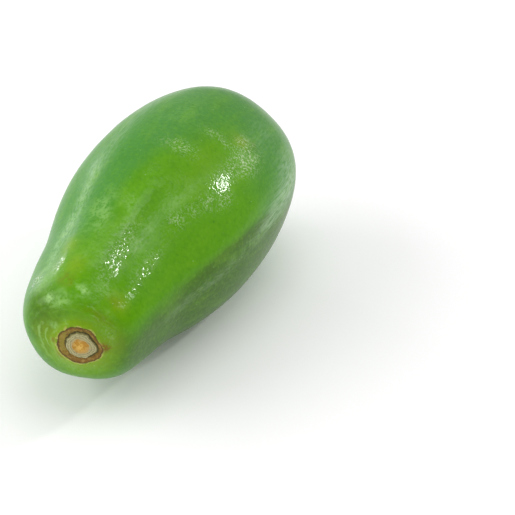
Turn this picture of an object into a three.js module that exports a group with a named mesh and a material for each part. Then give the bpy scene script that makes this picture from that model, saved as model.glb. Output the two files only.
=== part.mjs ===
// A whole green papaya, lying on its side as picked: one grown solid with a blunt stem end, a slight
// waist, a full belly and a rounded blossom end. Five low lobes run from end to end. The stem end
// carries the corky scar where the stalk broke off, and the blossom end a small dry nub.
// Millimetres and degrees. The stem end points to -Y, the blossom end to +Y and up is +Z. The origin
// is on the surface that the fruit lies on, under the middle of its bounding box.

import * as THREE from "three";

// The outline: distance from the stem end, mean radius there, and rings of facets up to the next row
const PROFILE = [
  { at: 0, radius: 0, rings: 0 },
  { at: 1.5, radius: 16, rings: 3 },
  { at: 5.5, radius: 25.8, rings: 3 },
  { at: 11.9, radius: 31.1, rings: 3 },
  { at: 23.8, radius: 35.1, rings: 3 },
  { at: 42.6, radius: 39.1, rings: 4 },
  { at: 64.5, radius: 43.6, rings: 4 },
  { at: 88.3, radius: 51.2, rings: 4 },
  { at: 114, radius: 57, rings: 4 },
  { at: 141.8, radius: 59.6, rings: 4 },
  { at: 169.6, radius: 58.6, rings: 4 },
  { at: 196.4, radius: 53.2, rings: 4 },
  { at: 217.2, radius: 42.4, rings: 4 },
  { at: 232, radius: 27.5, rings: 6 },
  { at: 238, radius: 0, rings: 0 },
];
const LENGTH = PROFILE.at(-1).at;
const AROUND = 72; // facets round the fruit

// Rings of the blunt stem end, by radius, close together where the scar's steps are
const CAP_RADIUS = PROFILE[1].radius;
const CAP_RINGS = [1.4, 2.8, 4.2, 5.2, 6.4, 7.5, 8.2, 9.0, 9.9, 10.9, 12.0, 13.2, 14.6];

// Lobes: crests that swell and grooves between them, stronger towards the stem
const LOBES = 5;
const CREST_ANGLE = 90; // one crest runs along the top
const LOBE_SWELL = 0.016; // share of the radius
const LOBE_NECK_GAIN = 0.8; // how much stronger the lobes are at the waist
const WAIST_AT = 0.12; // share of the length
const LOBE_UNEVEN = 0.25; // crests differ in height by this share
const LOBE_UNEVEN_ANGLE = 35;
const LOBES_FROM = 10; // radius where the lobes begin, near both ends
const LOBES_FULL = 26;

// Lie: the middle arches a little, the stem end leans aside, and the fruit tips until its weight is
// over the spot that it rests on
const ARCH = 5;
const LEAN_SHARE = 0.35; // share of the length that leans
const LEAN_X = 10.8;
const LEAN_Z = 11;
const LEAN_TURN = 12;
const TIP = 4;
const FLAT_DEPTH = 1.6; // how far the resting spot is pressed flat

// The stalk's scar, by radius: pale pith, woody disc, open groove, corky collar, then the skin's rim
const PITH_RADIUS = 4.8;
const DISC_RADIUS = 8.1;
const GROOVE_RADIUS = 9.1;
const COLLAR_RADIUS = 12;
const PITH_DEPTH = 0.35;
const DISC_RISE = 0.25;
const GROOVE_DEPTH = 1.2;
const COLLAR_DEPTH = 0.7;
const RIM_RISE = 0.45;
const RIM_WIDTH = 2.2;
const SHOULDER_RADIUS = 17; // the skin dips round the scar and rises again to the shoulders
const SHOULDER_DIP = 0.8;
const SHOULDER_WIDTH = 5;

// The scar isn't round: its outline at every 30 degrees, as a share of its radius
const SCAR_OUTLINE = [1.08, 0.96, 1.04, 1.05, 1.02, 1.01, 1.06, 1.04, 1.0, 0.97, 0.92, 0.97];
const SCAR_ROUND_WITHIN = 4; // radii between which its unevenness grows and fades
const SCAR_ROUND_BEYOND = 18;
const SCAR_SHIFT_X = 2.4; // the scar sits a little off the middle of the stem end
const SCAR_SHIFT_Z = -1.8;
const SHIFT_FROM = 13; // radii between which that shift fades out
const SHIFT_TO = 30;

// The blossom end: a dry nub in a shallow dimple
const NUB_RADIUS = 3.2;
const NUB_RISE = 1.4;
const DIMPLE_RADIUS = 9;
const DIMPLE_DEPTH = 1.1;

const radians = THREE.MathUtils.degToRad;
const step = THREE.MathUtils.smoothstep;

// A smooth hump, 1 at its middle and 0 a few widths away
const hump = (distance, width) => Math.exp(-((distance / width) ** 2));

// The outline as one smooth curve of x = distance from the stem end and y = radius. The rows next to
// each end are mirrored beyond it, so that both ends close square to the axis.
function outlineCurve() {
  const rows = PROFILE.map((p) => new THREE.Vector2(p.at, p.radius));
  const mirrored = (p) => new THREE.Vector2(p.x, -p.y);
  return new THREE.SplineCurve([mirrored(rows[1]), ...rows, mirrored(rows.at(-2))]);
}

// The rings from the stem end to the blossom end, each {at, radius}, without the two poles
function outlineRings() {
  const curve = outlineCurve();
  const spans = PROFILE.length + 1;
  const rings = [];
  const addRing = (row, part) => {
    const p = curve.getPoint((row + 1 + part) / spans);
    rings.push({ at: p.x, radius: p.y });
  };
  CAP_RINGS.forEach((radius) => addRing(0, radius / CAP_RADIUS));
  PROFILE.forEach(({ rings: count }, row) => {
    for (let i = 0; i < count; i++) addRing(row, i / count);
  });
  return rings;
}

// How much the lobes swell or pinch the radius at an angle round the fruit
function lobeFactor(share, radius, angle) {
  const neck = 1 + LOBE_NECK_GAIN * hump(share - WAIST_AT, WAIST_AT);
  const strength = LOBE_SWELL * neck * step(radius, LOBES_FROM, LOBES_FULL);
  const uneven = 1 + LOBE_UNEVEN * Math.cos(angle - radians(LOBE_UNEVEN_ANGLE));
  return 1 + strength * uneven * Math.cos(LOBES * (angle - radians(CREST_ANGLE)));
}

// How far the scar's outline stands out or in at an angle, for a ring of the stem end
function scarFactor(radius, angle) {
  const turn = (angle / (2 * Math.PI)) * SCAR_OUTLINE.length;
  const from = SCAR_OUTLINE[Math.floor(turn) % SCAR_OUTLINE.length];
  const to = SCAR_OUTLINE[(Math.floor(turn) + 1) % SCAR_OUTLINE.length];
  const outline = from + (to - from) * step(turn % 1, 0, 1);
  const grown = step(radius, SCAR_ROUND_WITHIN, COLLAR_RADIUS);
  const faded = 1 - step(radius, COLLAR_RADIUS, SCAR_ROUND_BEYOND);
  return 1 + (outline - 1) * grown * faded;
}

// Height of the stalk's scar over the smooth stem end, out of the fruit
function scarHeight(radius) {
  if (radius < PITH_RADIUS) return DISC_RISE - PITH_DEPTH * (1 - step(radius, 0, PITH_RADIUS));
  if (radius < DISC_RADIUS) return DISC_RISE;
  if (radius < GROOVE_RADIUS) return -GROOVE_DEPTH;
  const collar = -COLLAR_DEPTH * (1 - step(radius, GROOVE_RADIUS, COLLAR_RADIUS));
  const rim = RIM_RISE * hump(radius - COLLAR_RADIUS - RIM_WIDTH / 2, RIM_WIDTH);
  return collar + rim - SHOULDER_DIP * hump(radius - SHOULDER_RADIUS, SHOULDER_WIDTH);
}

// Height of the nub and its dimple over the smooth blossom end
function nubHeight(radius) {
  return NUB_RISE * hump(radius, NUB_RADIUS) - DIMPLE_DEPTH * hump(radius, DIMPLE_RADIUS);
}

// A point of the surface on a ring, at an angle round the fruit from +X through +Z
function surfacePoint({ at, radius }, angle) {
  const share = at / LENGTH;
  const stemEnd = share < 0.5;
  const swollen = radius * lobeFactor(share, radius, angle) * (stemEnd ? scarFactor(radius, angle) : 1);
  const out = stemEnd ? -scarHeight(radius) : nubHeight(radius);
  const lean = Math.max(0, 1 - share / LEAN_SHARE);
  const local = new THREE.Vector3(swollen * Math.cos(angle), out, swollen * Math.sin(angle));
  const shift = stemEnd ? 1 - step(radius, SHIFT_FROM, SHIFT_TO) : 0;
  local.add(new THREE.Vector3(SCAR_SHIFT_X * shift, 0, SCAR_SHIFT_Z * shift));
  local.applyAxisAngle(new THREE.Vector3(0, 0, 1), radians(LEAN_TURN) * lean ** 2);
  const arch = ARCH * 4 * share * (1 - share);
  const middle = new THREE.Vector3(LEAN_X * lean ** 3, at - LENGTH / 2, LEAN_Z * lean ** 3 + arch);
  return local.add(middle).applyAxisAngle(new THREE.Vector3(1, 0, 0), radians(TIP));
}

// Presses the lowest part flat, then stands the fruit on z = 0 with its box centred on the origin
function settle(points) {
  const lowest = Math.min(...points.map((p) => p.z));
  points.forEach((p) => (p.z = Math.max(p.z, lowest + FLAT_DEPTH)));
  const box = new THREE.Box3().setFromPoints(points);
  const middle = box.getCenter(new THREE.Vector3());
  points.forEach((p) => p.sub(new THREE.Vector3(middle.x, middle.y, box.min.z)));
}

// One closed skin of triangles: a fan at each pole and a band between each two rings
function fruitGeometry() {
  const rings = outlineRings();
  const points = [surfacePoint({ at: 0, radius: 0 }, 0)];
  for (const ring of rings)
    for (let k = 0; k < AROUND; k++) points.push(surfacePoint(ring, (2 * Math.PI * k) / AROUND));
  points.push(surfacePoint({ at: LENGTH, radius: 0 }, 0));
  settle(points);

  const corner = (ring, k) => 1 + ring * AROUND + (k % AROUND);
  const last = points.length - 1;
  const faces = [];
  for (let k = 0; k < AROUND; k++) {
    faces.push(0, corner(0, k), corner(0, k + 1));
    faces.push(last, corner(rings.length - 1, k + 1), corner(rings.length - 1, k));
    for (let ring = 0; ring < rings.length - 1; ring++) {
      const [a, b] = [corner(ring, k), corner(ring, k + 1)];
      const [c, d] = [corner(ring + 1, k), corner(ring + 1, k + 1)];
      faces.push(a, c, b, b, c, d);
    }
  }
  const geometry = new THREE.BufferGeometry().setFromPoints(points).setIndex(faces);
  geometry.computeVertexNormals();
  return geometry;
}

const greenSkin = new THREE.MeshStandardMaterial({ color: 0x5a9628, roughness: 0.35, metalness: 0 });
const fruit = new THREE.Mesh(fruitGeometry(), greenSkin);
fruit.name = "papaya";

const papaya = new THREE.Group();
papaya.add(fruit);

export default papaya;
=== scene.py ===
"""A whole green papaya lying on its side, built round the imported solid: the same outline at a finer
grain, with the natural unevenness of the skin, the stalk's scar and the dry nub, in studio light.
Blender units are metres. Sizes below are millimetres unless they say otherwise."""

import math

import bmesh
import bpy
from mathutils import Matrix, Vector, noise


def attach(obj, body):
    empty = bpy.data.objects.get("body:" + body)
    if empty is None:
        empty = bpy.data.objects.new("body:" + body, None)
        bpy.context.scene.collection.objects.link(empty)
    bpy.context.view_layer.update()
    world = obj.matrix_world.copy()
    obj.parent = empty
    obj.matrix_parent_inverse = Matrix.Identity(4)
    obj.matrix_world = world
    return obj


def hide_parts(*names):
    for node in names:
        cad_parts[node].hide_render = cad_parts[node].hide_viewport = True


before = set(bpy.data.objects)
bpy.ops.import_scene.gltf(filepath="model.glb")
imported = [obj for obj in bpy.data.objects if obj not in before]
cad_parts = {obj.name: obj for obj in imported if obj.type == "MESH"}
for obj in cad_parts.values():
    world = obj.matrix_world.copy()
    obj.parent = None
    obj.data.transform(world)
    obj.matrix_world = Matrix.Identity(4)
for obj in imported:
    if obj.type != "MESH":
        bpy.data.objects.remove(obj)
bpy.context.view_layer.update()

MM = 0.001

# The outline: distance from the stem end and mean radius, as the solid has it
PROFILE = [
    (0, 0),
    (1.5, 16),
    (5.5, 25.8),
    (11.9, 31.1),
    (23.8, 35.1),
    (42.6, 39.1),
    (64.5, 43.6),
    (88.3, 51.2),
    (114, 57),
    (141.8, 59.6),
    (169.6, 58.6),
    (196.4, 53.2),
    (217.2, 42.4),
    (232, 27.5),
    (238, 0),
]
LENGTH = PROFILE[-1][0]

# Lobes: crests that swell and grooves between them, stronger towards the stem
LOBES = 5
CREST_ANGLE = 90
LOBE_SWELL = 0.016
LOBE_NECK_GAIN = 0.8
WAIST_AT = 0.12
LOBE_UNEVEN = 0.25
LOBE_UNEVEN_ANGLE = 35
LOBES_FROM = 10
LOBES_FULL = 26

# Lie: arch, lean of the stem end, tip onto the resting spot, and how far that is pressed flat
ARCH = 5
LEAN_SHARE = 0.35
LEAN_X = 10.8
LEAN_Z = 11
LEAN_TURN = 12
TIP = 4
FLAT_DEPTH = 1.6

# The stalk's scar, by radius, and the nub at the blossom end
PITH_RADIUS = 4.8
DISC_RADIUS = 8.1
GROOVE_RADIUS = 9.1
COLLAR_RADIUS = 12
PITH_DEPTH = 0.35
DISC_RISE = 0.25
GROOVE_DEPTH = 1.2
COLLAR_DEPTH = 0.7
RIM_RISE = 0.45
RIM_WIDTH = 2.2
SHOULDER_RADIUS = 17
SHOULDER_DIP = 0.8
SHOULDER_WIDTH = 5
SCAR_OUTLINE = [1.08, 0.96, 1.04, 1.05, 1.02, 1.01, 1.06, 1.04, 1.0, 0.97, 0.92, 0.97]
SCAR_ROUND_WITHIN = 4
SCAR_ROUND_BEYOND = 18
SCAR_SHIFT_X = 2.4
SCAR_SHIFT_Z = -1.8
SHIFT_FROM = 13
SHIFT_TO = 30
NUB_RADIUS = 3.2
NUB_RISE = 1.4
DIMPLE_RADIUS = 9
DIMPLE_DEPTH = 1.1

# The wood sits off the collar's middle: how far, which way, and between which radii that comes and goes
WOOD_ASIDE = 1.0
WOOD_ASIDE_ANGLE = 35
WOOD_ASIDE_COMES = (1, 6)
WOOD_ASIDE_GOES = (8.5, 12)

# The scar's layers wander: (waves a radian, reach), twist by radius, and where that comes and goes
LAYER_WANDERS = [(1.7, 0.8), (4, 0.5), (11, 0.25)]
LAYER_TWIST = 0.12
WANDER_COMES = (2, 7)
WANDER_GOES = (13, 16)

# Grain and lumps of the scar: how wide, and how high on each layer
SCAR_GRAIN = 0.8
SCAR_LUMPS = 2.1
PITH_GRAIN_RISE = 0.13
WOOD_RING_RELIEF = 0.95
WOOD_RING_RISE = 0.07
WOOD_LUMP_RISE = 0.12
WOOD_GRAIN_RISE = 0.06
GROOVE_OPEN = 0.7
GROOVE_LUMP_RISE = 0.3
COLLAR_LUMP_RISE = 0.16
COLLAR_GRAIN_RISE = 0.1

# How far before and past its radius each edge of the scar is worn round
PITH_EDGE = (0.5, 0.5)
DISC_EDGE = (0.35, 0.2)
GROOVE_EDGE = (0.3, 0.4)
COLLAR_EDGE = (0.5, 0.5)

# The nub is ragged: share of its radius, waves round it, and twist by radius
NUB_RAGGED = 0.3
NUB_WAVES = 2.5
NUB_TWIST = 0.3

# Fineness of the skin's mesh: facets round the fruit, rows on the blunt stem end, rows on the rest, and
# how many spans of the outline that stem end is
AROUND = 320
CAP_ROWS = 75
BODY_ROWS = 185
CAP_SPANS = 1

# Distance along the skin that halves the fruit, and the radius kept where the scar or the nub is far
STEM_SIDE = 150
FAR = 99

# Low ridges along the neck that a papaya's veins raise: angle at both ends, from and to along the skin,
# width, height
RIDGES = [
    (77, 73, 56, 126, 5, 1.2),
    (57, 57, 36, 90, 4, -0.4),
    (44, 44, 60, 104, 6, 0.9),
    (110, 110, 40, 80, 5, 0.3),
    (16, 16, 60, 150, 6, 0.5),
]
RIDGE_UNEVEN = 0.4  # share of the height, in lumps this long and this wide
RIDGE_LUMP_LENGTH = 4
RIDGE_LUMP_WIDTH = 3
RIDGE_RISES = (14, 8)  # how far before and past its start a ridge climbs, and how its end falls
RIDGE_FALLS = (14, 12)

# Waves of the skin: how wide, how high. They begin between two distances from the scar's middle
BROAD_WAVE = (42, 0.45)
DENTS = [(13, 0.09), (5, 0.02)]
WAVES_COME = (12, 22)

# Folds round the stem end: spacing, height, and how they wander: over what distance, how far
FOLD_SPACING = 3.4
FOLD_RISE = 0.16
FOLD_WANDER = (9, 2.2)

# Marks on the skin: distance from the scar's middle along the skin, angle round the fruit, half
# length, half width, turn of the mark in degrees, strength. First the waxy bloom, with painted reflection in
# the groove on the left and along the right edge
BLOOM_AND_REFLECTION_MARKS = [
    (16.5, 140, 2, 2.2, 0, 1.0),
    (16, 113, 1.6, 1.6, 0, 0.7),
    (29, 48, 2, 4, 0, 0.5),
    (20, 18, 1.5, 2, 0, 0.6),
    (33, 84, 3.6, 5, 0, 1.3),
    (28, 103, 3.8, 5, 20, 1.0),
    (30, 119, 3.5, 3, 0, 0.9),
    (29, 63, 2.5, 2, 0, 0.6),
    (44, 62, 7, 6, 0, 0.5),
    (58, 85, 9, 6, 0, 0.35),
    (91, 97, 15, 9, 10, 0.55),
    (98, 80, 9, 5, 0, 0.4),
    (118, 57, 26, 4.5, -6, 0.27),
    (84, 60, 16, 4, 0, 0.35),
    (104, 120, 22, 4, 0, 0.4),
    (74, 125, 20, 4.5, 0, 0.45),
    (52, 130, 12, 3, 0, 0.4),
    (196, 9, 22, 4, 0, 0.4),
    (150, 3, 24, 4, 0, 0.35),
    (176, 43, 9, 6, 0, 0.35),
    (22, 170, 5, 10, 0, 0.1),
    (18, 260, 4, 16, 0, 0.35),
    (184, 88, 20, 12, 0, 0.15),
]
# Where the wax has worn matt and takes no clear reflections
MATT_MARKS = [
    (43, 42, 11, 10, 0, 3.0),
    (37, 70, 11, 10, 0, 3.0),
    (130, 119, 50, 18, 0, 2.0),
    (85, 116, 22, 8, 0, 1.6),
]
# Where the skin is coarser and breaks the lights into sparks
COARSE_MARKS = [
    (77, 73, 22, 8, 0, 1.3),
    (75, 44, 20, 4, 0, 1.2),
    (51, 114, 5, 4, 0, 1.2),
    (47, 138, 6, 5, 0, 1.8),
    (176, 44, 12, 8, 0, 0.4),
    (162, 46, 9, 9, 0, 0.2),
]
# Fine pale streaks of wax, drawn out along the fruit; several are painted reflection: along the right edge,
# on the shaded lower side and in the groove on the left
WAX_STREAK_AND_REFLECTION_MARKS = [
    (84, 60, 16, 3, 0, 0.35),
    (118, 57, 24, 3, -6, 0.15),
    (104, 120, 24, 5, 0, 0.6),
    (76, 125, 18, 5, 0, 0.6),
    (198, 9, 28, 8, 0, 1.0),
    (208, 22, 16, 9, 0, 0.55),
    (174, 4, 21, 5, 0, 0.8),
    (114, 359, 26, 3.5, 0, 0.35),
    (80, 356, 18, 3, 0, 0.3),
    (215, 115, 22, 16, 0, 0.45),
    (205, 45, 20, 9, 0, 0.3),
    (165, 118, 34, 9, 0, 0.5),
]
# Rubbed patches of pale specks and threads; some are painted highlight: pale halos round the sparks, and one
# small painted glint by the stem end
SCUFF_AND_GLINT_MARKS = [
    (176, 42, 11, 7, 0, 1.2),
    (163, 44, 6, 5, 0, 0.7),
    (186, 50, 5, 5, 0, 0.8),
    (174, 61, 3.5, 10, 0, 0.75),
    (151, 75, 5, 10, 0, 0.6),
    (150, 45, 8, 6, 0, 0.6),
    (132, 43, 5, 5, 0, 0.7),
    (141, 37, 6, 4, 0, 0.7),
    (73, 71, 20, 4, 0, 0.4),
    (71, 44, 18, 3, 0, 0.4),
    (52, 114, 6, 3, 0, 0.4),
    (47, 138, 4, 3.5, 0, 1.2),
    (109, 50, 7, 5, 0, 0.5),
    (121, 46, 4, 4, 0, 0.4),
    (20, 25, 5, 8, 0, 0.15),
    (60, 66, 26, 5, 0, 0.3),
]
# Olive stains
OLIVE_MARKS = [
    (40, 101, 4.5, 4.5, 0, 0.9),
    (37, 94, 3, 2, 0, 0.6),
    (39, 46, 4, 4, 0, 0.5),
    (22, 60, 5, 8, 0, 0.55),
    (25, 46, 2, 7, 0, 0.5),
    (185, 50, 3, 3, 0, 0.6),
    (191, 44, 2.5, 3, 0, 0.5),
    (14.2, 353, 1.6, 1.1, 0, 1.0),
    (24, 5, 6, 6, 0, 0.35),
]
# Where the green has turned yellower
YELLOW_MARKS = [
    (66, 110, 9, 6, 0, 0.5),
    (14, 250, 14, 50, 0, 0.4),
    (19, 180, 7, 14, 0, 0.25),
    (50, 98, 9, 8, 0, 0.6),
    (184, 51, 6, 6, 0, 0.6),
    (39, 46, 8, 7, 0, 0.6),
    (150, 60, 26, 14, 0, 0.15),
    (20, 20, 8, 16, 0, 0.3),
]
# The sunny upper side
SUN_MARKS = [
    (100, 48, 62, 30, 0, 1.0),
    (48, 70, 24, 30, 0, 0.8),
    (160, 48, 30, 22, 0, 0.5),
    (120, 19, 50, 8, 0, 0.6),
    (118, 74, 26, 12, 0, 0.6),
    (30, 130, 14, 16, 0, 0.4),
    (8, 40, 26, 60, 0, 0.9),
]
# Where the skin is folded round the stem end, in relief and with a painted highlight along the folds
FOLD_MARKS = [
    (20, 160, 6, 9, 0, 0.9),
    (21, 205, 5, 9, 0, 0.5),
    (24, 62, 4, 8, 0, 0.7),
    (27, 110, 4, 9, 0, 0.5),
    (18, 330, 3, 5, 0, 0.3),
]
# Brown cracks at the edge of the scar
RUST_MARKS = [
    (13.0, 5, 2, 2.6, 0, 1.0),
    (15.5, 0, 2, 1.6, 0, 0.6),
    (14, 215, 1.5, 3, 0, 0.5),
    (14, 172, 1.2, 1.5, 0, 0.7),
]
# Painted shade: a darker, greyer green on the lower right side, the underside and two patches by the stem end
PAINTED_SHADE_MARKS = [
    (60, 349, 48, 15, 0, 0.48),
    (130, 348, 46, 19, 0, 1.0),
    (200, 346, 48, 17, 0, 0.55),
    (30, 132, 14, 18, 0, 0.55),
    (20, 168, 8, 14, 0, 0.3),
    (140, 9, 36, 4.5, 0, 0.55),
    (120, 308, 105, 46, 0, 0.6),
]

MARK_REACH = 3  # half sizes from its middle where a mark has faded out

# The marks by the names that the mesh keeps them under, for the materials
MARKS = {
    "sun": SUN_MARKS,
    "bloom_and_reflection": BLOOM_AND_REFLECTION_MARKS,
    "matt": MATT_MARKS,
    "coarse": COARSE_MARKS,
    "streak_and_reflection": WAX_STREAK_AND_REFLECTION_MARKS,
    "scuff_and_glint": SCUFF_AND_GLINT_MARKS,
    "olive": OLIVE_MARKS,
    "rust": RUST_MARKS,
    "fold_highlight": FOLD_MARKS,
    "painted_shade": PAINTED_SHADE_MARKS,
    "yellow": YELLOW_MARKS,
}

# The camera of the photograph: 515 pixels square, long lens, object left of the middle. Its distance
# and its aim beside the fruit are in metres
AZIMUTH = 24
ELEVATION = 32
DISTANCE = 0.985
FOCAL_SHARE = 1700 / 515
SENSOR = 36
AIM_RIGHT = 0.0574
AIM_DOWN = 0.0159


# Numbers


def hump(distance, width):
    """1 at its middle and 0 a few widths away."""
    return math.exp(-((distance / width) ** 2))


def step(x, low, high):
    """A smooth climb from 0 at low to 1 at high."""
    t = min(1, max(0, (x - low) / (high - low)))
    return t * t * (3 - 2 * t)


def past(x, edge, before, after):
    """0 a little before an edge, 1 a little past it."""
    return step(x, edge - before, edge + after)


def angle_between(a, b):
    """The turn from b to a in degrees, between -180 and 180."""
    return (a - b + 180) % 360 - 180


# The solid's own surface


def outline(share):
    """A point (distance from the stem end, radius) at a share of the way along the outline's rows."""
    rows = [Vector(row) for row in PROFILE]
    rows = [Vector((rows[1].x, -rows[1].y)), *rows, Vector((rows[-2].x, -rows[-2].y))]
    spans = len(PROFILE) - 1
    row = min(int(share * spans), spans - 1)
    t = share * spans - row
    a, b, c, d = rows[row : row + 4]
    return 0.5 * (2 * b + (c - a) * t + (2 * a - 5 * b + 4 * c - d) * t**2 + (3 * b - a - 3 * c + d) * t**3)


def lobe_factor(share, radius, angle):
    """How much the lobes swell or pinch the radius at an angle round the fruit."""
    neck = 1 + LOBE_NECK_GAIN * hump(share - WAIST_AT, WAIST_AT)
    strength = LOBE_SWELL * neck * step(radius, LOBES_FROM, LOBES_FULL)
    uneven = 1 + LOBE_UNEVEN * math.cos(angle - math.radians(LOBE_UNEVEN_ANGLE))
    return 1 + strength * uneven * math.cos(LOBES * (angle - math.radians(CREST_ANGLE)))


def scar_factor(radius, angle):
    """How far the scar's outline stands out or in at an angle."""
    turn = (angle / (2 * math.pi)) % 1 * len(SCAR_OUTLINE)
    start = SCAR_OUTLINE[int(turn) % len(SCAR_OUTLINE)]
    end = SCAR_OUTLINE[(int(turn) + 1) % len(SCAR_OUTLINE)]
    edge = start + (end - start) * step(turn % 1, 0, 1)
    grown = step(radius, SCAR_ROUND_WITHIN, COLLAR_RADIUS)
    faded = 1 - step(radius, COLLAR_RADIUS, SCAR_ROUND_BEYOND)
    return 1 + (edge - 1) * grown * faded


def scar_radius(radius, angle):
    """The radius that decides which layer of the scar a point lies in: the wood sits a little to the
    upper right of the collar, and the layers wander."""
    aside = WOOD_ASIDE * math.cos(angle - math.radians(WOOD_ASIDE_ANGLE)) * step(radius, *WOOD_ASIDE_COMES)
    radius -= aside * (1 - step(radius, *WOOD_ASIDE_GOES))
    around = Vector((math.cos(angle), math.sin(angle), radius * LAYER_TWIST))
    wander = sum(reach * noise.noise(around * waves) for waves, reach in LAYER_WANDERS)
    return radius + wander * step(radius, *WANDER_COMES) * (1 - step(radius, *WANDER_GOES))


def scar_height(radius, angle):
    """Height of the stalk's scar over the smooth stem end: pith, ringed wood, open groove, corky collar,
    and the skin's rim and shoulder round them."""
    at = Vector((radius * math.cos(angle), radius * math.sin(angle), 0))
    grain = noise.noise(at / SCAR_GRAIN)
    lumps = noise.noise(at / SCAR_LUMPS)
    pith = DISC_RISE - PITH_DEPTH * (1 - step(radius, 0, PITH_RADIUS)) + PITH_GRAIN_RISE * grain
    ringed = WOOD_RING_RISE * math.sin(2 * math.pi * radius / WOOD_RING_RELIEF)
    wood = DISC_RISE + ringed + WOOD_LUMP_RISE * lumps + WOOD_GRAIN_RISE * grain
    groove = -GROOVE_OPEN * GROOVE_DEPTH + GROOVE_LUMP_RISE * lumps
    collar = -COLLAR_DEPTH * (1 - step(radius, GROOVE_RADIUS, COLLAR_RADIUS))
    collar += COLLAR_LUMP_RISE * lumps + COLLAR_GRAIN_RISE * grain
    rim = RIM_RISE * hump(radius - COLLAR_RADIUS - RIM_WIDTH / 2, RIM_WIDTH)
    rim -= SHOULDER_DIP * hump(radius - SHOULDER_RADIUS, SHOULDER_WIDTH)
    height = pith + (wood - pith) * past(radius, PITH_RADIUS, *PITH_EDGE)
    height += (groove - height) * past(radius, DISC_RADIUS, *DISC_EDGE)
    height += (collar - height) * past(radius, GROOVE_RADIUS, *GROOVE_EDGE)
    return height + (rim - height) * past(radius, COLLAR_RADIUS, *COLLAR_EDGE)


def nub_height(radius, angle):
    """Height of the dry, wrinkled nub and its dimple over the smooth blossom end."""
    around = Vector((math.cos(angle), math.sin(angle), radius * NUB_TWIST))
    ragged = 1 + NUB_RAGGED * noise.noise(around * NUB_WAVES)
    return NUB_RISE * hump(radius, NUB_RADIUS * ragged) - DIMPLE_DEPTH * hump(radius, DIMPLE_RADIUS)


def surface_point(at, radius, angle):
    """A point of the solid's surface, in millimetres, before it is settled on the floor."""
    share = at / LENGTH
    stem_end = share < 0.5
    swollen = radius * lobe_factor(share, radius, angle) * (scar_factor(radius, angle) if stem_end else 1)
    out = -scar_height(scar_radius(radius, angle), angle) if stem_end else nub_height(radius, angle)
    lean = max(0, 1 - share / LEAN_SHARE)
    local = Vector((swollen * math.cos(angle), out, swollen * math.sin(angle)))
    shift = 1 - step(radius, SHIFT_FROM, SHIFT_TO) if stem_end else 0
    local += Vector((SCAR_SHIFT_X, 0, SCAR_SHIFT_Z)) * shift
    local.rotate(Matrix.Rotation(math.radians(LEAN_TURN) * lean**2, 3, "Z"))
    arch = ARCH * 4 * share * (1 - share)
    middle = Vector((LEAN_X * lean**3, at - LENGTH / 2, LEAN_Z * lean**3 + arch))
    return Matrix.Rotation(math.radians(TIP), 3, "X") @ (local + middle)


# What the skin adds to it


def ridge_relief(along, radius, degrees):
    """Low ridges along the neck, fading at both ends."""
    height = 0
    for first, last, start, end, width, rise in RIDGES:
        middle = first + (last - first) * (along - start) / (end - start)
        beside = math.radians(angle_between(degrees, middle)) * radius
        at = Vector((along / RIDGE_LUMP_LENGTH, beside / RIDGE_LUMP_WIDTH, first))
        uneven = 1 + RIDGE_UNEVEN * noise.noise(at)
        within = past(along, start, *RIDGE_RISES) * (1 - past(along, end, *RIDGE_FALLS))
        height += rise * uneven * hump(beside, width) * within
    return height


def skin_relief(point, along, radius, degrees):
    """Height of the skin over the smooth solid: waves, shallow dents, folds at the stem, and ridges."""
    waves = sum(rise * noise.noise(point / size) for size, rise in (BROAD_WAVE, *DENTS))
    size, reach = FOLD_WANDER
    astray = along + reach * noise.noise(point / size)
    folds = FOLD_RISE * math.sin(2 * math.pi * astray / FOLD_SPACING)
    folds *= mark_field(FOLD_MARKS, along, radius, degrees)
    return waves * step(along, *WAVES_COME) + folds + ridge_relief(along, radius, degrees)


def mark_field(marks, along, radius, degrees):
    """How strongly a point is inside any of the marks, 0 to 1."""
    total = 0
    for place, angle, half_length, half_width, turn, strength in marks:
        lengthways = along - place
        if abs(lengthways) > MARK_REACH * max(half_length, half_width):
            continue
        beside = math.radians(angle_between(degrees, angle)) * radius
        c, s = math.cos(math.radians(turn)), math.sin(math.radians(turn))
        u = (lengthways * c + beside * s) / half_length
        v = (beside * c - lengthways * s) / half_width
        total += strength * math.exp(-(u * u + v * v))
    return min(total, 1)


# The mesh


def outline_rows():
    """Rows of (distance from the stem end, radius, distance along the skin), close together at the scar."""
    spans = len(PROFILE) - 1
    shares = [CAP_SPANS * i / CAP_ROWS / spans for i in range(CAP_ROWS)]
    start = CAP_SPANS / spans
    shares += [start + (1 - start) * i / BODY_ROWS for i in range(BODY_ROWS + 1)]
    rows = []
    along = 0
    before = Vector((0, 0))
    for share in shares:
        here = outline(share)
        along += (here - before).length
        rows.append((here.x, max(here.y, 0), along))
        before = here
    return rows


def fruit_mesh():
    """A sphere from pole to pole, its rows moved onto the outline. Gives it and each vertex's place."""
    rows = outline_rows()
    bm = bmesh.new()
    bmesh.ops.create_uvsphere(bm, u_segments=AROUND, v_segments=len(rows) - 1, radius=1)
    bm.verts.ensure_lookup_table()
    places = []
    for v in bm.verts:
        from_pole = math.pi - math.acos(max(-1, min(1, v.co.z)))
        at, radius, along = rows[round(from_pole / math.pi * (len(rows) - 1))]
        angle = math.atan2(v.co.y, v.co.x)
        v.co = surface_point(at, radius, angle)
        places.append((along, radius, math.degrees(angle)))
    return bm, places


def add_relief(bm, places):
    """Moves every vertex out or in by the skin's relief."""
    bmesh.ops.recalc_face_normals(bm, faces=bm.faces)
    bm.normal_update()
    moved = [v.co + v.normal * skin_relief(v.co, *place) for v, place in zip(bm.verts, places)]
    for v, co in zip(bm.verts, moved):
        v.co = co


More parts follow.
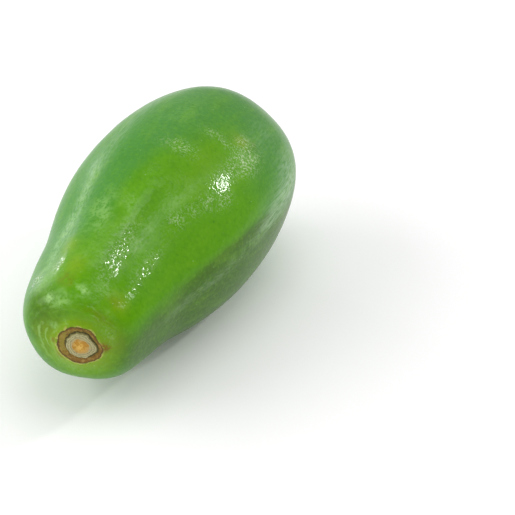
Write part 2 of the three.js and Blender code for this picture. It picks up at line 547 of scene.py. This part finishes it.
def settle(bm):
    """Presses the lowest part flat, and stands the fruit on the floor, in metres from here on."""
    lowest = min(v.co.z for v in bm.verts)
    for v in bm.verts:
        v.co.z = max(v.co.z, lowest + FLAT_DEPTH)
    low = [min(v.co[k] for v in bm.verts) for k in range(3)]
    high = [max(v.co[k] for v in bm.verts) for k in range(3)]
    shift = Vector(((low[0] + high[0]) / 2, (low[1] + high[1]) / 2, low[2]))
    for v in bm.verts:
        v.co = (v.co - shift) * MM


def store(mesh, name, values):
    """Keeps a number for each vertex, for the materials to read."""
    layer = mesh.attributes.new(name, "FLOAT", "POINT")
    layer.data.foreach_set("value", values)


def store_places(mesh, places):
    """Keeps each vertex's layer of the scar, radius at the nub, side of the scar, and share of each mark."""
    by_the_stem = [along < STEM_SIDE for along, _, _ in places]
    both = list(zip(places, by_the_stem))
    store(mesh, "scar_radius", [scar_radius(r, math.radians(a)) if stem else FAR for (_, r, a), stem in both])
    store(mesh, "nub_radius", [FAR if stem else r for (_, r, _), stem in both])
    store(mesh, "scar_left", [0.5 - 0.5 * math.cos(math.radians(a)) for _, _, a in places])
    store(mesh, "scar_low", [0.5 - 0.5 * math.sin(math.radians(a)) for _, _, a in places])
    for name, marks in MARKS.items():
        store(mesh, name, [mark_field(marks, *place) for place in places])


# Materials: one function adds every node

SMOOTH = {"interpolation_type": "SMOOTHSTEP"}
COLOUR = {"data_type": "RGBA"}
BELOW, ABOVE, MIXED = 6, 7, 2  # the colour sockets of a Mix node


def linear(text):
    """A colour as the shader takes it, from the six digits that a screen shows."""
    parts = [int(text[i : i + 2], 16) / 255 for i in (0, 2, 4)]
    return tuple(((c + 0.055) / 1.055) ** 2.4 if c > 0.04045 else c / 12.92 for c in parts) + (1,)


def add(tree, kind, inputs, output=0, **settings):
    """Adds a node with its settings. Each input is a value or another node's output. Gives an output."""
    node = tree.nodes.new("ShaderNode" + kind)
    for name, value in settings.items():
        setattr(node, name, value)
    for name, value in inputs.items():
        if isinstance(value, bpy.types.NodeSocket):
            tree.links.new(value, node.inputs[name])
        else:
            node.inputs[name].default_value = value
    return node.outputs[output]


def places_on_fruit(tree, stretch=1):
    """Places on the fruit in millimetres. A stretch makes patterns that much longer along the fruit."""
    scale = (1 / MM, 1 / MM / stretch, 1 / MM)
    place = add(tree, "TexCoord", {}, "Object")
    return add(tree, "VectorMath", {0: place, 1: scale}, operation="MULTIPLY")


def patches(tree, place, size, detail, low, high, top=1.0):
    """Soft patches of a size in millimetres: 0 where the noise is under low, top where it is over high."""
    grain = add(tree, "TexNoise", {"Vector": place, "Scale": 1 / size, "Detail": detail})
    ends = {"From Min": low, "From Max": high, "To Max": top}
    return add(tree, "MapRange", {"Value": grain, **ends}, **SMOOTH)


def where_marked(tree, mark, pattern):
    """A pattern only as strong as one of the marks stored on the mesh."""
    stored = add(tree, "Attribute", {}, "Fac", attribute_name=mark)
    return add(tree, "Math", {0: stored, 1: pattern}, operation="MULTIPLY")


def wandering(tree, stored, place, size, detail, reach):
    """A stored radius that wanders by up to a reach in millimetres, so that edges come out ragged."""
    radius = add(tree, "Attribute", {}, "Fac", attribute_name=stored)
    grain = add(tree, "TexNoise", {"Vector": place, "Scale": 1 / size, "Detail": detail})
    astray = add(tree, "Math", {0: grain, 1: 0.5}, operation="SUBTRACT")
    return add(tree, "Math", {0: astray, 1: reach, 2: radius}, operation="MULTIPLY_ADD")


RING_FROM = 0.2  # the height of a wave, of 1, where its ring starts to show


def rings(tree, radius, spacing, strength):
    """Rings round the scar at a spacing in millimetres."""
    turns = add(tree, "Math", {0: radius, 1: 2 * math.pi / spacing}, operation="MULTIPLY")
    waves = add(tree, "Math", {0: turns}, operation="SINE")
    return add(tree, "MapRange", {"Value": waves, "From Min": RING_FROM, "To Max": strength}, **SMOOTH)


def new_material(name, roughness, coat=0, coat_roughness=0.3):
    """A material and its shader, with the constant values that the surface has."""
    material = bpy.data.materials.new(name)
    material.use_nodes = True
    tree = material.node_tree
    shader = tree.nodes["Principled BSDF"]
    shader.inputs["Roughness"].default_value = roughness
    shader.inputs["Coat Weight"].default_value = coat
    shader.inputs["Coat Roughness"].default_value = coat_roughness
    return material, tree, shader


# The skin

COAT = 0.32  # how much of a full gloss the wax gives
COAT_ROUGHNESS = 0.085
MATT_SHARE = 0.04  # what is left of it where it has worn matt
COARSE_SHINE = 0.42  # what pebbled skin adds to it
BASE_SHINE = 0.05
LEAST_ROUGH = 0.3
ROUGH_SPREAD = 0.2
BLOOM_ROUGH = 0.14
DEEP_GREEN = linear("4a8a38")
SUN_GREEN = linear("589802")
YELLOW_GREEN = linear("8aa806")
LIGHT_GREEN = linear("70a812")
DARK_GREEN = linear("3d7a10")
FRESH_GREEN = linear("6fa824")
# Pale green of the bloom, also used for painted reflection and for the painted highlight on the folds
BLOOM_AND_SHEEN_GREEN = linear("9ccb74")
# Pale grey of the wax streaks, also used for painted reflection
STREAK_AND_REFLECTION_GREY = linear("a8c6a0")
# Pale of the scuffs and pores, also used for painted glints
PALE_SPECK_AND_GLINT = linear("b5d09c")
# The darker, greyer green of the painted shade
PAINTED_SHADE_GREEN = linear("40640e")
OLIVE_BROWN = linear("6a7e06")
RIM_YELLOW = linear("b3b45a")
RIM_BROWN = linear("5f4716")
CRACK_BROWN = linear("7d5216")

# How much longer than wide the mottling and the streaks are
MOTTLE_STRETCH = 5
STREAK_STRETCH = 8

# Patterns, as patches() takes them: size in millimetres, detail, where they start and end, strength
YELLOW_PATCHES = (12, 3, 0.15, 0.6)
LONG_MOTTLE = (8, 5, 0.48, 0.75, 0.28)
BROAD_MOTTLE = (11, 5, 0.5, 0.75, 0.22)
FINE_MOTTLE = (2.0, 5, 0.42, 0.8, 0.36)
DARK_MOTTLE = (2.5, 5, 0.45, 0.78, 0.34)
SOFT_CLOUDS = (9, 5, 0.3, 0.62, 0.95)
CLOUD_GRAIN = (1.7, 4, 0.3, 0.58)
STREAK_HAIRS = (1.2, 5, 0.26, 0.72, 0.7)
STAINS = (3, 4, 0.3, 0.6, 0.75)
THREAD_GAPS = (2.4, 3, 0.48, 0.58)
SPECKS = (1.1, 3, 0.5, 0.62)
SCUFF_PATCHES = (5, 3, 0.32, 0.52)
PORE_PATCHES = (16, 2, 0.45, 0.6, 0.3)
FOLD_GAPS = (6, 2, 0.4, 0.62)
RIM_GAPS = (4, 3, 0.4, 0.58, 0.95)
CRACKS = (1.5, 4, 0.3, 0.5)
EDGE_GAPS = (3, 2, 0.4, 0.6, 0.9)

# Noises for colour and relief: a scale is one over the size in millimetres. Depths are millimetres too
BROAD_CHANGE = {"Scale": 1 / 30, "Detail": 3}
PAINTED_SHADE_STREAKS = {"Scale": 1 / 7, "Detail": 4}
THREAD_BENDS = {"Scale": 1 / 3, "Detail": 2}
ROUGH_GRAIN = {"Scale": 1 / 3, "Detail": 4}
PITS = {"Scale": 1 / 6, "Detail": 2}
PIT_DEPTH = 0.05
PEBBLES = {"Scale": 1 / 2.4, "Detail": 1}
PEBBLE_DEPTH = 0.54
FINE_GRAIN = {"Scale": 1 / 1.4, "Detail": 0.5}
FINE_DEPTHS = {"Normal": 0.07, "Coat Normal": 0.09}

# How much the broad noise changes the sunny zone, and the streaky one the painted shade, and where each shows
SUN_UNEVEN = 0.7
SUNNY = {"From Min": 0.38, "From Max": 1.02}
PAINTED_SHADE_UNEVEN = 0.3
SHADED = {"From Min": 0.3, "From Max": 0.85, "To Max": 0.9}

# Spacings of the threads of a scuff, the breathing pores and the dark specks, and how wide each is drawn
THREAD_SPACING = 2.2
THREAD_WIDTH = {"From Min": 0.12, "From Max": 0.02, "To Max": 0.85}
PORE_SPACING = 4.2
PORE_WIDTH = {"From Min": 0.13, "From Max": 0.05}
BLOT_SPACING = 21
BLOT_WIDTH = {"From Min": 0.05, "From Max": 0.02, "To Max": 0.6}

# Round the scar: how raggedly the rim runs, and the radii that each change lies between
RIM_WANDER = (1.6, 3, 1.6)
# The pale lines along the folds are painted highlight
FOLD_HIGHLIGHT_WANDER = (9, 3, 7)
FOLD_HIGHLIGHT_STRENGTH = 0.6
HALO_RADII = {"From Min": 19, "From Max": 12.7, "To Max": 0.4}
RIM_RADII = {"From Min": 13.6, "From Max": 12.5}
EDGE_RADII = {"From Min": 12.7, "From Max": 12}


def skin_colour(tree, place, long_place):
    """Bluish green, sunnier and yellower on the upper side, softly mottled, with painted shade darkening the
    lower side.
    """
    broad = add(tree, "TexNoise", {"Vector": place, **BROAD_CHANGE})
    sun = add(tree, "Attribute", {}, "Fac", attribute_name="sun")
    patchy = add(tree, "Math", {0: broad, 1: SUN_UNEVEN, 2: sun}, operation="MULTIPLY_ADD")
    sunny = add(tree, "MapRange", {"Value": patchy, **SUNNY}, **SMOOTH)
    colour = add(tree, "Mix", {0: sunny, BELOW: DEEP_GREEN, ABOVE: SUN_GREEN}, MIXED, **COLOUR)
    # Painted shade: the lower side turned darker and greyer, in streaks
    painted_shade = add(tree, "Attribute", {}, "Fac", attribute_name="painted_shade")
    streaky = add(tree, "TexNoise", {"Vector": long_place, **PAINTED_SHADE_STREAKS})
    shaded = add(tree, "Math", {0: streaky, 1: PAINTED_SHADE_UNEVEN, 2: painted_shade}, operation="MULTIPLY_ADD")
    shade = add(tree, "MapRange", {"Value": shaded, **SHADED}, **SMOOTH)
    colour = add(tree, "Mix", {0: shade, BELOW: colour, ABOVE: PAINTED_SHADE_GREEN}, MIXED, **COLOUR)
    yellowed = where_marked(tree, "yellow", patches(tree, place, *YELLOW_PATCHES))
    colour = add(tree, "Mix", {0: yellowed, BELOW: colour, ABOVE: YELLOW_GREEN}, MIXED, **COLOUR)
    for tint, at, pattern in (
        (LIGHT_GREEN, long_place, LONG_MOTTLE),
        (DARK_GREEN, place, BROAD_MOTTLE),
        (FRESH_GREEN, place, FINE_MOTTLE),
        (DARK_GREEN, place, DARK_MOTTLE),
    ):
        amount = patches(tree, at, *pattern)
        colour = add(tree, "Mix", {0: amount, BELOW: colour, ABOVE: tint}, MIXED, **COLOUR)
    return colour


def skin_bloom_and_reflection(tree, place, long_place, colour):
    """Waxy bloom: soft grained clouds, and fine drawn-out streaks along the fruit, both partly painted
    reflection.
    """
    soft = patches(tree, place, *SOFT_CLOUDS)
    grained = add(tree, "Math", {0: soft, 1: patches(tree, place, *CLOUD_GRAIN)}, operation="MULTIPLY")
    # Bloom, partly painted reflection
    clouds = where_marked(tree, "bloom_and_reflection", grained)
    colour = add(tree, "Mix", {0: clouds, BELOW: colour, ABOVE: BLOOM_AND_SHEEN_GREEN}, MIXED, **COLOUR)
    # Streaks of wax, partly painted reflection along the edges and on the shaded side
    streaks = where_marked(tree, "streak_and_reflection", patches(tree, long_place, *STREAK_HAIRS))
    return add(tree, "Mix", {0: streaks, BELOW: colour, ABOVE: STREAK_AND_REFLECTION_GREY}, MIXED, **COLOUR)


def scuff_threads(tree, place):
    """Thin bent threads with gaps in them; drawn as coarse as the picture shows them."""
    bent = add(tree, "TexNoise", {"Vector": place, **THREAD_BENDS}, "Color")
    shifted = add(tree, "VectorMath", {0: bent, 1: place}, operation="ADD")
    cells = {"Vector": shifted, "Scale": 1 / THREAD_SPACING}
    net = add(tree, "TexVoronoi", cells, feature="DISTANCE_TO_EDGE")
    thin = add(tree, "MapRange", {"Value": net, **THREAD_WIDTH}, **SMOOTH)
    return add(tree, "Math", {0: thin, 1: patches(tree, place, *THREAD_GAPS)}, operation="MULTIPLY")


def skin_marks(tree, place, colour):
    """Olive stains, and scuffs of broken specks and threads in patches, partly painted highlight round the
    sparks.
    """
    stains = where_marked(tree, "olive", patches(tree, place, *STAINS))
    colour = add(tree, "Mix", {0: stains, BELOW: colour, ABOVE: OLIVE_BROWN}, MIXED, **COLOUR)
    threads = scuff_threads(tree, place)
    both = add(tree, "Math", {0: threads, 1: patches(tree, place, *SPECKS)}, operation="MAXIMUM")
    uneven = patches(tree, place, *SCUFF_PATCHES)
    broken = add(tree, "Math", {0: both, 1: uneven}, operation="MULTIPLY")
    # Scuffs, partly painted highlight round the sparks
    scuffs_and_glints = where_marked(tree, "scuff_and_glint", broken)
    return add(tree, "Mix", {0: scuffs_and_glints, BELOW: colour, ABOVE: PALE_SPECK_AND_GLINT}, MIXED, **COLOUR)


def skin_specks(tree, place, colour):
    """Tiny pale breathing pores and a few dark specks; drawn as coarse as the picture shows them."""
    cells = add(tree, "TexVoronoi", {"Vector": place, "Scale": 1 / PORE_SPACING})
    dots = add(tree, "MapRange", {"Value": cells, **PORE_WIDTH}, **SMOOTH)
    pores = add(tree, "Math", {0: dots, 1: patches(tree, place, *PORE_PATCHES)}, operation="MULTIPLY")
    colour = add(tree, "Mix", {0: pores, BELOW: colour, ABOVE: PALE_SPECK_AND_GLINT}, MIXED, **COLOUR)
    blots = add(tree, "TexVoronoi", {"Vector": place, "Scale": 1 / BLOT_SPACING})
    dark = add(tree, "MapRange", {"Value": blots, **BLOT_WIDTH}, **SMOOTH)
    return add(tree, "Mix", {0: dark, BELOW: colour, ABOVE: DARK_GREEN}, MIXED, **COLOUR)


def skin_round_scar(tree, place, colour):
    """A thin broken yellow rim that browns at the very edge, and pale lines along the folds as painted
    highlight.
    """
    ragged = wandering(tree, "scar_radius", place, *RIM_WANDER)
    halo = add(tree, "MapRange", {"Value": ragged, **HALO_RADII}, **SMOOTH)
    colour = add(tree, "Mix", {0: halo, BELOW: colour, ABOVE: YELLOW_GREEN}, MIXED, **COLOUR)
    # Painted highlight: pale lines along the folds round the stem end
    folded = wandering(tree, "scar_radius", place, *FOLD_HIGHLIGHT_WANDER)
    lines = rings(tree, folded, FOLD_SPACING, FOLD_HIGHLIGHT_STRENGTH)
    fold_highlight_lines = add(tree, "Math", {0: lines, 1: patches(tree, place, *FOLD_GAPS)}, operation="MULTIPLY")
    folds = where_marked(tree, "fold_highlight", fold_highlight_lines)
    colour = add(tree, "Mix", {0: folds, BELOW: colour, ABOVE: BLOOM_AND_SHEEN_GREEN}, MIXED, **COLOUR)
    near = add(tree, "MapRange", {"Value": ragged, **RIM_RADII}, **SMOOTH)
    rim = add(tree, "Math", {0: near, 1: patches(tree, place, *RIM_GAPS)}, operation="MULTIPLY")
    colour = add(tree, "Mix", {0: rim, BELOW: colour, ABOVE: RIM_YELLOW}, MIXED, **COLOUR)
    cracks = where_marked(tree, "rust", patches(tree, place, *CRACKS))
    colour = add(tree, "Mix", {0: cracks, BELOW: colour, ABOVE: CRACK_BROWN}, MIXED, **COLOUR)
    edge = add(tree, "MapRange", {"Value": ragged, **EDGE_RADII}, **SMOOTH)
    browned = add(tree, "Math", {0: edge, 1: patches(tree, place, *EDGE_GAPS)}, operation="MULTIPLY")
    return add(tree, "Mix", {0: browned, BELOW: colour, ABOVE: RIM_BROWN}, MIXED, **COLOUR)


def skin_roughness(tree, place):
    """Unevenly rough under the wax, and rougher where there is bloom."""
    grain = add(tree, "TexNoise", {"Vector": place, **ROUGH_GRAIN})
    rough = add(tree, "Math", {0: grain, 1: ROUGH_SPREAD, 2: LEAST_ROUGH}, operation="MULTIPLY_ADD")
    bloom_and_reflection = add(tree, "Attribute", {}, "Fac", attribute_name="bloom_and_reflection")
    return add(tree, "Math", {0: bloom_and_reflection, 1: BLOOM_ROUGH, 2: rough}, operation="MULTIPLY_ADD")


def skin_shine(tree):
    """Full wax, hardly any where it has worn matt, and more where pebbled skin throws sparks."""
    matt = add(tree, "Attribute", {}, "Fac", attribute_name="matt")
    coarse = add(tree, "Attribute", {}, "Fac", attribute_name="coarse")
    glossy = add(tree, "MapRange", {"Value": matt, "To Min": COAT, "To Max": MATT_SHARE * COAT})
    return add(tree, "Math", {0: coarse, 1: COARSE_SHINE, 2: glossy}, operation="MULTIPLY_ADD")


def skin_grain(tree, place):
    """Shallow pits all over, and pebbles where the skin is coarse; both break up the reflections."""
    pits = add(tree, "TexNoise", {"Vector": place, **PITS})
    pitted = add(tree, "Bump", {"Height": pits, "Distance": PIT_DEPTH * MM, "Strength": 1})
    coarse = add(tree, "Attribute", {}, "Fac", attribute_name="coarse")
    lumps = add(tree, "TexNoise", {"Vector": place, **PEBBLES})
    deep = add(tree, "Math", {0: coarse, 1: PEBBLE_DEPTH * MM}, operation="MULTIPLY")
    return add(tree, "Bump", {"Height": lumps, "Distance": deep, "Strength": 1, "Normal": pitted})


def skin_material():
    """Papaya skin under natural wax: a smooth cuticle that catches small broken lights over soft colour."""
    material, tree, shader = new_material("waxy_green_skin", LEAST_ROUGH, COAT, COAT_ROUGHNESS)
    shader.inputs["Specular IOR Level"].default_value = BASE_SHINE
    place = places_on_fruit(tree)
    colour = skin_colour(tree, place, places_on_fruit(tree, MOTTLE_STRETCH))
    colour = skin_round_scar(tree, place, colour)
    colour = skin_bloom_and_reflection(tree, place, places_on_fruit(tree, STREAK_STRETCH), colour)
    colour = skin_marks(tree, place, colour)
    tree.links.new(skin_specks(tree, place, colour), shader.inputs["Base Color"])
    tree.links.new(skin_roughness(tree, place), shader.inputs["Roughness"])
    tree.links.new(skin_shine(tree), shader.inputs["Coat Weight"])
    grain = skin_grain(tree, place)
    fine = add(tree, "TexNoise", {"Vector": place, **FINE_GRAIN})
    for socket, depth in FINE_DEPTHS.items():
        relief = {"Height": fine, "Distance": depth * MM, "Strength": 1, "Normal": grain}
        tree.links.new(add(tree, "Bump", relief), shader.inputs[socket])
    return material


# The stalk's scar and the nub

# Colours by distance from the scar's middle: pith, wood, open groove darkened with painted shade, corky
# collar, dark edge
SCAR_LAYERS = [
    (0.0, "deb85c"),
    (2.4, "d0a548"),
    (4.2, "ba9550"),
    (4.8, "b3a878"),
    (7.4, "b9b384"),
    (7.9, "8f8a52"),
    # The open groove: its own olive, darkened further as painted shade in the recess
    (8.3, "45431a"),
    (8.7, "544d1c"),
    (9.1, "8a7024"),
    (10.6, "876a20"),
    (11.5, "714f12"),
    (12.0, "55420f"),
    (12.6, "5d4c16"),
]
PITH_ORANGE = linear("b27e10")
CORK_TAN = linear("a88a44")
CORK_DARK = linear("5a3c10")
CORK_OLIVE = linear("9a9030")
CORK_RUST = linear("86601c")
PORE_BROWN = linear("4a4020")
RING_OLIVE = linear("706e44")

# Spacings of the wood's rings and pores, drawn as coarse as the picture shows them
WOOD_RING = 1.3
WOOD_RING_STRENGTH = 0.7
WOOD_PORE = 1.05
WOOD_PORE_WIDTH = {"From Min": 0.3, "From Max": 0.16, "To Max": 0.6}

# Stretches of the scar: from and to a radius, and how soft their edges are
PITH = (-1, 5, 0.5)
WOOD = (5, 8, 0.4)
COLLAR = (9.3, 11.6, 0.4)

# How the layers run: size, detail, reach in millimetres
SCAR_WANDER = (1.2, 3, 0.9)
NUB_WANDER = (1.2, 3, 1.5)

# Patterns of the scar, where its collar turns olive and redder, and the dry grain's size and depth
PITH_STAINS = (2.2, 3, 0.46, 0.58, 0.8)
PALE_CORK = (2.2, 5, 0.5, 0.62, 0.75)
DARK_CORK = (1.8, 4, 0.53, 0.66, 0.6)
CORK_LUMPS = {"Scale": 1 / 2, "Detail": 4}
LEFT_SIDE = {"From Min": 0.6, "From Max": 0.95, "To Max": 0.7}
LOW_SIDE = {"From Min": 1, "From Max": 1.45, "To Max": 0.8}
DRY_DETAIL = 4
DRY_DEPTH = 0.5
SCAR_DRY_GRAIN = 0.7
NUB_DRY_GRAIN = 0.8
SCAR_ROUGHNESS = 0.8
NUB_ROUGHNESS = 0.85


def layered(tree, radius, layers):
    """Colours from a middle outwards, each one fading into the next between their radii."""
    start, first = layers[0]
    colour = linear(first)
    for reach, text in layers[1:]:
        amount = add(tree, "MapRange", {"Value": radius, "From Min": start, "From Max": reach})
        colour = add(tree, "Mix", {0: amount, BELOW: colour, ABOVE: linear(text)}, MIXED, **COLOUR)
        start = reach
    return colour


def between(tree, radius, start, end, soft, pattern):
    """A pattern only between two radii, with soft edges."""
    after = add(tree, "MapRange", {"Value": radius, "From Min": start - soft, "From Max": start}, **SMOOTH)
    before = add(tree, "MapRange", {"Value": radius, "From Min": end, "From Max": end - soft}, **SMOOTH)
    inside = add(tree, "Math", {0: after, 1: before}, operation="MULTIPLY")
    return add(tree, "Math", {0: inside, 1: pattern}, operation="MULTIPLY")


def scar_colour(tree, place):
    """Orange-tan pith, grey-beige ringed wood with dark pores, an olive groove darkened with painted shade,
    and a brown corky collar that is more olive on the left and redder below."""
    ragged = wandering(tree, "scar_radius", place, *SCAR_WANDER)
    colour = layered(tree, ragged, SCAR_LAYERS)
    left = add(tree, "Attribute", {}, "Fac", attribute_name="scar_left")
    leftward = add(tree, "MapRange", {"Value": left, **LEFT_SIDE}, **SMOOTH)
    low = add(tree, "Attribute", {}, "Fac", attribute_name="scar_low")
    lumps = add(tree, "TexNoise", {"Vector": place, **CORK_LUMPS})
    lower = add(tree, "Math", {0: low, 1: lumps}, operation="ADD")
    downward = add(tree, "MapRange", {"Value": lower, **LOW_SIDE}, **SMOOTH)
    cells = add(tree, "TexVoronoi", {"Vector": place, "Scale": 1 / WOOD_PORE})
    pores = add(tree, "MapRange", {"Value": cells, **WOOD_PORE_WIDTH}, **SMOOTH)
    for tint, (start, end, soft), pattern in (
        (PITH_ORANGE, PITH, patches(tree, place, *PITH_STAINS)),
        (RING_OLIVE, WOOD, rings(tree, ragged, WOOD_RING, WOOD_RING_STRENGTH)),
        (PORE_BROWN, WOOD, pores),
        (CORK_OLIVE, COLLAR, leftward),
        (CORK_RUST, COLLAR, downward),
        (CORK_TAN, COLLAR, patches(tree, place, *PALE_CORK)),
        (CORK_DARK, COLLAR, patches(tree, place, *DARK_CORK)),
    ):
        amount = between(tree, ragged, start, end, soft, pattern)
        colour = add(tree, "Mix", {0: amount, BELOW: colour, ABOVE: tint}, MIXED, **COLOUR)
    return colour


def roughen(tree, shader, place, size):
    """Coarse dry grain of a size in millimetres."""
    grain = add(tree, "TexNoise", {"Vector": place, "Scale": 1 / size, "Detail": DRY_DETAIL})
    relief = add(tree, "Bump", {"Height": grain, "Distance": DRY_DEPTH * MM, "Strength": 1})
    tree.links.new(relief, shader.inputs["Normal"])


def scar_material():
    """Dry cork and wood where the stalk broke off: matt, cracked and dusty."""
    material, tree, shader = new_material("dry_stalk_scar", SCAR_ROUGHNESS)
    place = places_on_fruit(tree)
    tree.links.new(scar_colour(tree, place), shader.inputs["Base Color"])
    roughen(tree, shader, place, SCAR_DRY_GRAIN)
    return material


# Colours by distance from the nub's middle
NUB_LAYERS = [(0.8, "2f2212"), (2.0, "4a3516"), (3.2, "6d5a24"), (4.2, "7c8a34")]


def nub_material():
    """The withered rest of the flower: dry, dark brown, paler at its rim."""
    material, tree, shader = new_material("withered_flower_nub", NUB_ROUGHNESS)
    place = places_on_fruit(tree)
    ragged = wandering(tree, "nub_radius", place, *NUB_WANDER)
    tree.links.new(layered(tree, ragged, NUB_LAYERS), shader.inputs["Base Color"])
    roughen(tree, shader, place, NUB_DRY_GRAIN)
    return material


# The fruit as one object

SCAR_EDGE = 12.2  # the radii where the scar and the nub end and the skin starts
NUB_EDGE = 3.6


def face_material(place_list):
    """0 for skin, 1 for the scar, 2 for the nub, by the places of a face's corners."""
    along = sum(place[0] for place in place_list) / len(place_list)
    radius = sum(place[1] for place in place_list) / len(place_list)
    if along < STEM_SIDE:
        angle = math.radians(place_list[0][2])
        return 1 if scar_radius(radius, angle) < SCAR_EDGE else 0
    return 2 if radius < NUB_EDGE else 0


def build_fruit():
    """The whole fruit as one piece, with its three materials, in place of the solid."""
    bm, places = fruit_mesh()
    add_relief(bm, places)
    settle(bm)
    bmesh.ops.recalc_face_normals(bm, faces=bm.faces)
    mesh = bpy.data.meshes.new("papaya_skin")
    bm.to_mesh(mesh)
    bm.free()
    store_places(mesh, places)
    for material in (skin_material(), scar_material(), nub_material()):
        mesh.materials.append(material)
    for face in mesh.polygons:
        face.use_smooth = True
        face.material_index = face_material([places[i] for i in face.vertices])
    fruit = bpy.data.objects.new("papaya_skin", mesh)
    bpy.context.scene.collection.objects.link(fruit)
    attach(fruit, "root")
    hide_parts("papaya")


# The picture


def view_axes():
    """The camera's right, up and backward directions."""
    a, e = math.radians(AZIMUTH), math.radians(ELEVATION)
    back = Vector((math.sin(a) * math.cos(e), -math.cos(a) * math.cos(e), math.sin(e)))
    right = Vector((math.cos(a), math.sin(a), 0))
    return right, back.cross(right), back


# A point in the fruit, in metres, that the camera and the lights are placed from
MIDDLE = Vector((0, 0, 0.055))

# Soft lights: name, azimuth, elevation, distance, width and height in metres, watts
LIGHTS = [
    ("key", 129, 36, 1.2, 0.09, 0.12, 2.5),
    ("rim_left", 247, 7, 1.2, 0.5, 0.25, 0.6),
    ("rim_spark", 238, 7.5, 1.2, 0.06, 0.06, 1.0),
    ("front_left", 300, 30, 1.5, 1.5, 1.1, 13),
    ("top", 90, 80, 1.4, 1.0, 1.0, 4.6),
]
STUDIO_WHITE = 0.58
FLOOR_SIZE = 4
FLOOR_ROUGHNESS = 0.9
FLOOR_WHITE = linear("fafafa")
FLOOR_GLOW = 0.05  # lifts the table to the white of the photograph's ground
WHITE = (1, 1, 1, 1)


def add_camera():
    """The photograph's viewpoint."""
    right, up, back = view_axes()
    camera = bpy.data.objects.new("camera", bpy.data.cameras.new("camera"))
    bpy.context.scene.collection.objects.link(camera)
    bpy.context.scene.camera = camera
    camera.data.sensor_width = SENSOR
    camera.data.lens = SENSOR * FOCAL_SHARE
    camera.location = MIDDLE + back * DISTANCE + right * AIM_RIGHT - up * AIM_DOWN
    camera.rotation_euler = back.to_track_quat("Z", "Y").to_euler()


def add_softbox(name, azimuth, elevation, distance, width, height, watts):
    """A rectangular light that looks at the fruit from a direction, sizes in metres."""
    a, e = math.radians(azimuth), math.radians(elevation)
    towards = Vector((math.sin(a) * math.cos(e), -math.cos(a) * math.cos(e), math.sin(e)))
    lamp = bpy.data.objects.new(name, bpy.data.lights.new(name, "AREA"))
    lamp.data.shape = "RECTANGLE"
    lamp.data.size = width
    lamp.data.size_y = height
    lamp.data.energy = watts
    lamp.location = MIDDLE + towards * distance
    lamp.rotation_euler = towards.to_track_quat("Z", "Y").to_euler()
    bpy.context.scene.collection.objects.link(lamp)


def add_surroundings():
    """An even white studio."""
    world = bpy.data.worlds.new("studio")
    bpy.context.scene.world = world
    world.use_nodes = True
    background = world.node_tree.nodes["Background"]
    background.inputs["Color"].default_value = WHITE
    background.inputs["Strength"].default_value = STUDIO_WHITE


def add_floor():
    """A plain matt white table that is a little bright itself."""
    bm = bmesh.new()
    bmesh.ops.create_grid(bm, x_segments=1, y_segments=1, size=FLOOR_SIZE)
    mesh = bpy.data.meshes.new("floor")
    bm.to_mesh(mesh)
    bm.free()
    material, _, shader = new_material("white_table", FLOOR_ROUGHNESS)
    shader.inputs["Base Color"].default_value = FLOOR_WHITE
    shader.inputs["Emission Color"].default_value = WHITE
    shader.inputs["Emission Strength"].default_value = FLOOR_GLOW
    mesh.materials.append(material)
    floor = bpy.data.objects.new("floor", mesh)
    bpy.context.scene.collection.objects.link(floor)


build_fruit()
add_camera()
add_surroundings()
for light in LIGHTS:
    add_softbox(*light)
add_floor()
bpy.context.scene.view_settings.view_transform = "Standard"
